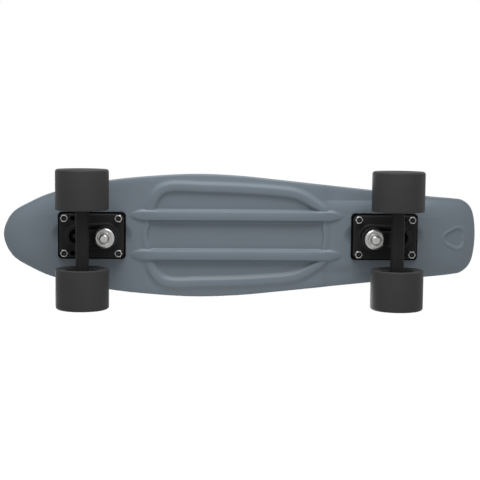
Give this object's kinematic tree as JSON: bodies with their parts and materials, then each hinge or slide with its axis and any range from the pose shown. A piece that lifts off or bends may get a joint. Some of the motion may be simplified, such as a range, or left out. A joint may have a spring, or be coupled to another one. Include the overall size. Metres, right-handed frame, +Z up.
{
  "type": "cruiser skateboard",
  "caption": "Small moulded plastic cruiser skateboard with a rounded nose, a kicked tail, ribbed underside, steering trucks and soft wheels on bearings.",
  "frame": {"origin": "on the ground, below the middle of the board's length and width", "axes": "+X towards the rounded nose, +Y towards the rider's left when facing the nose, +Z up"},
  "size_m": [0.57, 0.1604, 0.1122],
  "materials": {
    "deck_plastic": "satin moulded blue-grey plastic",
    "black_rubber": "matte black rubber",
    "black_paint": "semi-matte black powder coat on cast metal",
    "black_steel": "black oxide steel",
    "bright_steel": "zinc-plated steel",
    "bushing_urethane": "smooth black urethane",
    "wheel_urethane": "satin dark grey urethane"
  },
  "bodies": {
    "board": {"deck": "deck_plastic", "front_riser_pad": "black_rubber", "front_baseplate": "black_paint", "front_pivot_cup": "black_rubber", "front_kingpin": "bright_steel", "front_board_side_washer": "bright_steel", "front_board_side_bushing": "bushing_urethane", "front_road_side_bushing": "bushing_urethane", "front_road_side_washer": "bright_steel", "front_kingpin_nut": "bright_steel", "front_deck_bolt_1": "black_steel", "front_deck_bolt_2": "black_steel", "front_deck_bolt_3": "black_steel", "front_deck_bolt_4": "black_steel", "front_lock_nut_1": "bright_steel", "front_lock_nut_2": "bright_steel", "front_lock_nut_3": "bright_steel", "front_lock_nut_4": "bright_steel", "rear_riser_pad": "black_rubber", "rear_baseplate": "black_paint", "rear_pivot_cup": "black_rubber", "rear_kingpin": "bright_steel", "rear_board_side_washer": "bright_steel", "rear_board_side_bushing": "bushing_urethane", "rear_road_side_bushing": "bushing_urethane", "rear_road_side_washer": "bright_steel", "rear_kingpin_nut": "bright_steel", "rear_deck_bolt_1": "black_steel", "rear_deck_bolt_2": "black_steel", "rear_deck_bolt_3": "black_steel", "rear_deck_bolt_4": "black_steel", "rear_lock_nut_1": "bright_steel", "rear_lock_nut_2": "bright_steel", "rear_lock_nut_3": "bright_steel", "rear_lock_nut_4": "bright_steel"},
    "front_hanger": {"front_hanger": "black_paint", "front_axle": "bright_steel", "front_left_bearing_sleeve": "bright_steel", "front_right_bearing_sleeve": "bright_steel", "front_left_axle_nut": "bright_steel", "front_right_axle_nut": "bright_steel"},
    "rear_hanger": {"rear_hanger": "black_paint", "rear_axle": "bright_steel", "rear_left_bearing_sleeve": "bright_steel", "rear_right_bearing_sleeve": "bright_steel", "rear_left_axle_nut": "bright_steel", "rear_right_axle_nut": "bright_steel"},
    "front_left_wheel": {"front_left_wheel": "wheel_urethane", "front_left_outer_bearing": "bright_steel", "front_left_inner_bearing": "bright_steel"},
    "front_right_wheel": {"front_right_wheel": "wheel_urethane", "front_right_outer_bearing": "bright_steel", "front_right_inner_bearing": "bright_steel"},
    "rear_left_wheel": {"rear_left_wheel": "wheel_urethane", "rear_left_outer_bearing": "bright_steel", "rear_left_inner_bearing": "bright_steel"},
    "rear_right_wheel": {"rear_right_wheel": "wheel_urethane", "rear_right_outer_bearing": "bright_steel", "rear_right_inner_bearing": "bright_steel"}
  },
  "joints": [
    {"name": "front_steering", "type": "hinge", "parent": "board", "child": "front_hanger", "pos_m": [0.1619, 0, 0.0564], "axis": [0.9161, 0, 0.401], "range_deg": [-15, 15], "stiffness_Nm_per_rad": 25, "deforming": ["front_board_side_bushing", "front_road_side_bushing"]},
    {"name": "rear_steering", "type": "hinge", "parent": "board", "child": "rear_hanger", "pos_m": [-0.1519, 0, 0.0564], "axis": [-0.9161, 0, 0.401], "range_deg": [-15, 15], "stiffness_Nm_per_rad": 25, "deforming": ["rear_board_side_bushing", "rear_road_side_bushing"]},
    {"name": "front_left_wheel_spin", "type": "hinge", "parent": "front_hanger", "child": "front_left_wheel", "pos_m": [0.1863, 0.0569, 0.0305], "axis": [0, 1, 0], "continuous": true},
    {"name": "front_right_wheel_spin", "type": "hinge", "parent": "front_hanger", "child": "front_right_wheel", "pos_m": [0.1863, -0.0569, 0.0305], "axis": [0, 1, 0], "continuous": true},
    {"name": "rear_left_wheel_spin", "type": "hinge", "parent": "rear_hanger", "child": "rear_left_wheel", "pos_m": [-0.1763, 0.0569, 0.0305], "axis": [0, 1, 0], "continuous": true},
    {"name": "rear_right_wheel_spin", "type": "hinge", "parent": "rear_hanger", "child": "rear_right_wheel", "pos_m": [-0.1763, -0.0569, 0.0305], "axis": [0, 1, 0], "continuous": true}
  ]
}
